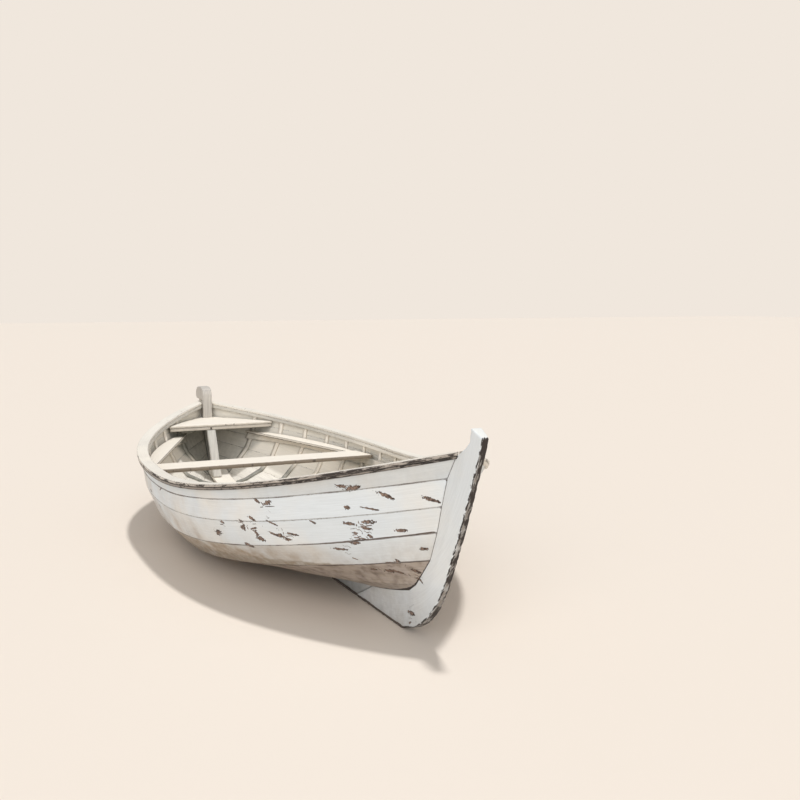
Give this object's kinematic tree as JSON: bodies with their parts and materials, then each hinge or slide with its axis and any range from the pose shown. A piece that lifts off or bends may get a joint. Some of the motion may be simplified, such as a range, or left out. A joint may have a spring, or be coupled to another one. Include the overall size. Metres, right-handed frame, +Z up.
{
  "type": "wooden rowing boat, double-ended and carvel-planked",
  "caption": "Open double-ended wooden rowing boat with flush planking, a raked stem, a curled sternpost, plank seats and a flat keel to stand on.",
  "frame": {"origin": "on the ground, under the middle of the overall length, on the centre plane", "axes": "+X forward along the keel, +Y to port, +Z up"},
  "size_m": [4.913, 1.744, 1.062],
  "materials": {
    "hull_paint": "old matt off-white paint over planks",
    "bottom_paint": "worn grey-brown paint over planks",
    "rail_paint": "worn cream paint",
    "rubbing_paint": "chipped dark paint",
    "inside_paint": "matt cream paint",
    "seat_paint": "worn cream paint",
    "backbone_paint": "weathered grey-white paint",
    "floor_wood": "bare worn wood",
    "shoe_wood": "dark bare wood"
  },
  "bodies": {
    "root": {"apron": "inside_paint", "bilge_strake_port": "hull_paint", "bilge_strake_starboard": "hull_paint", "bow_thwart": "seat_paint", "breasthook": "inside_paint", "cap_rail_port": "rail_paint", "cap_rail_starboard": "rail_paint", "floor_strake_port": "bottom_paint", "floor_strake_starboard": "bottom_paint", "garboard_strake_port": "bottom_paint", "garboard_strake_starboard": "bottom_paint", "inner_floorboard_port": "floor_wood", "inner_floorboard_starboard": "floor_wood", "inwale_port": "inside_paint", "inwale_starboard": "inside_paint", "keel": "backbone_paint", "keel_shoe": "shoe_wood", "keelson": "inside_paint", "outer_floorboard_port": "floor_wood", "outer_floorboard_starboard": "floor_wood", "ribs_port": "inside_paint", "ribs_starboard": "inside_paint", "riser_port": "inside_paint", "riser_starboard": "inside_paint", "rubbing_strake_port": "rubbing_paint", "rubbing_strake_starboard": "rubbing_paint", "seat_beam": "seat_paint", "sheer_strake_port": "hull_paint", "sheer_strake_starboard": "hull_paint", "side_bench_port": "seat_paint", "side_bench_starboard": "seat_paint", "side_strake_port": "hull_paint", "side_strake_starboard": "hull_paint", "stanchion": "backbone_paint", "stem": "backbone_paint", "stern_seat": "seat_paint", "sternpost": "backbone_paint", "thwart": "seat_paint", "upper_strake_port": "hull_paint", "upper_strake_starboard": "hull_paint"}
  },
  "joints": []
}
